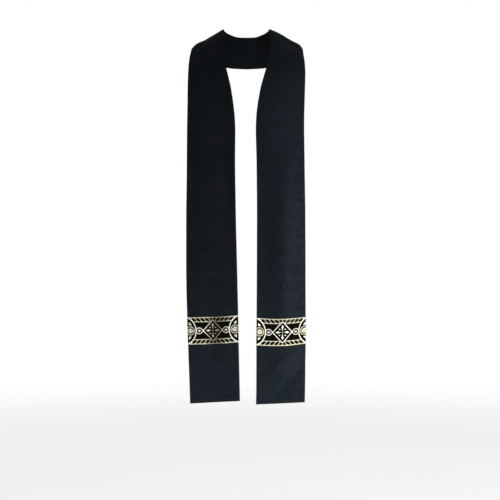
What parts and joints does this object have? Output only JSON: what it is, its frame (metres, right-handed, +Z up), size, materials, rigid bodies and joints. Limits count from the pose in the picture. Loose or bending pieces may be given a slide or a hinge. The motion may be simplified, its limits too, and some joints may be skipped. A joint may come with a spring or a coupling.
{
  "type": "clergy stole",
  "caption": "Black damask clergy stole in its worn, hollow form, a mitred seam at the nape and a gold galloon band across each front.",
  "frame": {"origin": "middle of the neck hollow, level with the top of the stole beside the neck, where the wearer's neck and shoulders carry it", "axes": "+Z up along the hanging fronts, the front faces -Y, +X is the wearer's left"},
  "size_m": [0.3874, 0.258, 1.2231],
  "materials": {
    "black_damask": "black tone-on-tone damask with a soft satin figure, plain black reverse",
    "gold_galloon": "woven galloon, pale gold metallic thread figures on a black ground"
  },
  "bodies": {
    "root": {"left_half": "black_damask", "right_half": "black_damask", "left_band": "gold_galloon", "right_band": "gold_galloon"}
  },
  "joints": []
}
